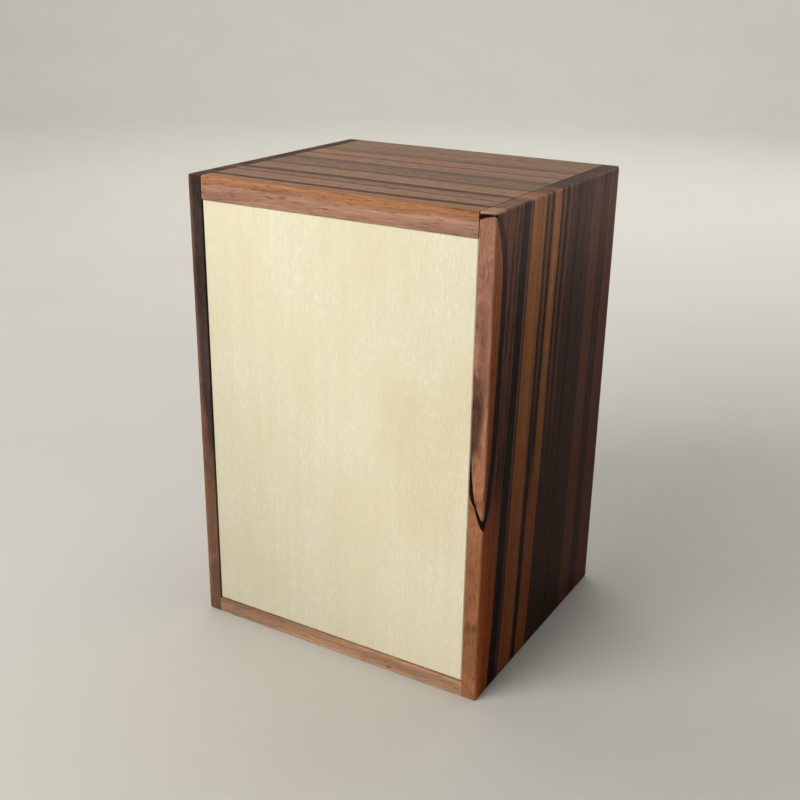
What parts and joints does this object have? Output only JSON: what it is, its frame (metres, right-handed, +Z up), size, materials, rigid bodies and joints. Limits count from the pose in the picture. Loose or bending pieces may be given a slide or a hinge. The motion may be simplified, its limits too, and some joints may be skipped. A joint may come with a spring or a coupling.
{
  "type": "wooden puzzle box",
  "caption": "Upright puzzle box: a striped hardwood sleeve round a flush pale-fronted drawer, with a sliding top wall over a finger notch and gravity lock pins.",
  "frame": {"origin": "middle of the base, on the surface that the box stands on", "axes": "+Z up, +X to the right as seen from the front, the pale drawer front faces -Y"},
  "size_m": [0.055, 0.048, 0.08],
  "materials": {
    "striped_hardwood": "oiled zebrawood, satin",
    "pale_panel": "fine-sanded lime wood, satin",
    "inner_wood": "planed beech, matt",
    "strip_wood": "dense dark hardwood, waxed",
    "brass": "turned brass",
    "nickel": "nickel-plated magnet"
  },
  "bodies": {
    "sleeve": {"left_wall": "striped_hardwood", "right_wall": "striped_hardwood", "bottom_wall": "striped_hardwood", "back_panel": "pale_panel", "lock_plate": "inner_wood", "left_spline": "strip_wood", "right_spline": "strip_wood", "drawer_stop_peg": "strip_wood", "back_magnet": "nickel"},
    "sliding_top": {"top_wall": "striped_hardwood", "left_tongue": "strip_wood", "right_tongue": "strip_wood"},
    "drawer": {"drawer_front": "pale_panel", "drawer_left_side": "inner_wood", "drawer_right_side": "inner_wood", "drawer_back": "inner_wood", "drawer_floor": "inner_wood", "finger_rail": "inner_wood", "left_pin_block": "inner_wood", "right_pin_block": "inner_wood", "left_pin_cap": "inner_wood", "right_pin_cap": "inner_wood", "drawer_magnet": "nickel"},
    "left_pin": {"left_lock_pin": "brass"},
    "right_pin": {"right_lock_pin": "brass"}
  },
  "joints": [
    {"name": "top_slide", "type": "slide", "parent": "sleeve", "child": "sliding_top", "axis": [0, 1, 0], "range_m": [0, 0.011]},
    {"name": "drawer_slide", "type": "slide", "parent": "sleeve", "child": "drawer", "axis": [0, -1, 0], "range_m": [0, 0.0339]},
    {"name": "left_pin_slide", "type": "slide", "parent": "drawer", "child": "left_pin", "axis": [0, 0, 1], "range_m": [0, 0.0028]},
    {"name": "right_pin_slide", "type": "slide", "parent": "drawer", "child": "right_pin", "axis": [0, 0, 1], "range_m": [0, 0.0028]}
  ]
}
